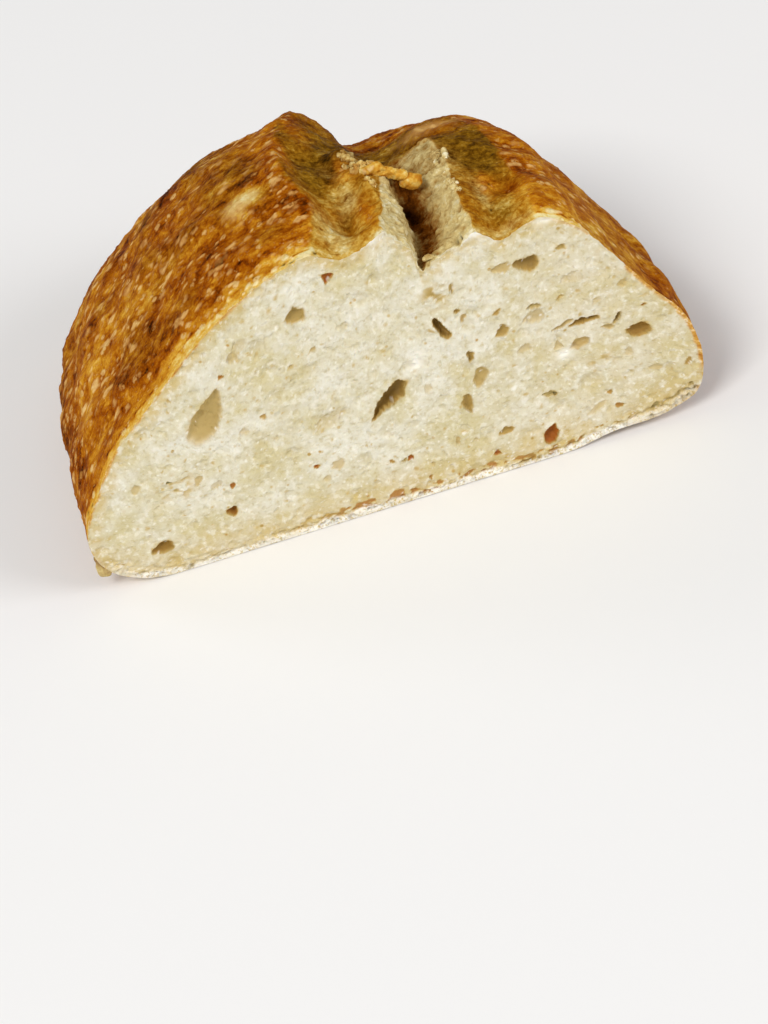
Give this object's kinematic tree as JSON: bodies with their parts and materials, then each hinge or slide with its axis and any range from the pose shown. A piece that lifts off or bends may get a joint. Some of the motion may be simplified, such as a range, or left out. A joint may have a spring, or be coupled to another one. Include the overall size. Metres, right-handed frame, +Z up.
{
  "type": "bread roll half",
  "caption": "Half of a small crusty bread loaf, cut across: browned blistered crust, torn score on top, open crumb on the cut face and a flat floured base.",
  "frame": {"origin": "middle of the footprint's box, on the surface that the flat base stands on", "axes": "+Z up; -Y out of the upright cut face; +X along the cut face, to the right as it is looked at"},
  "size_m": [0.1196, 0.086, 0.0618],
  "materials": {
    "baked_bread": "satin"
  },
  "bodies": {
    "root": {"half_loaf": "baked_bread"}
  },
  "joints": []
}
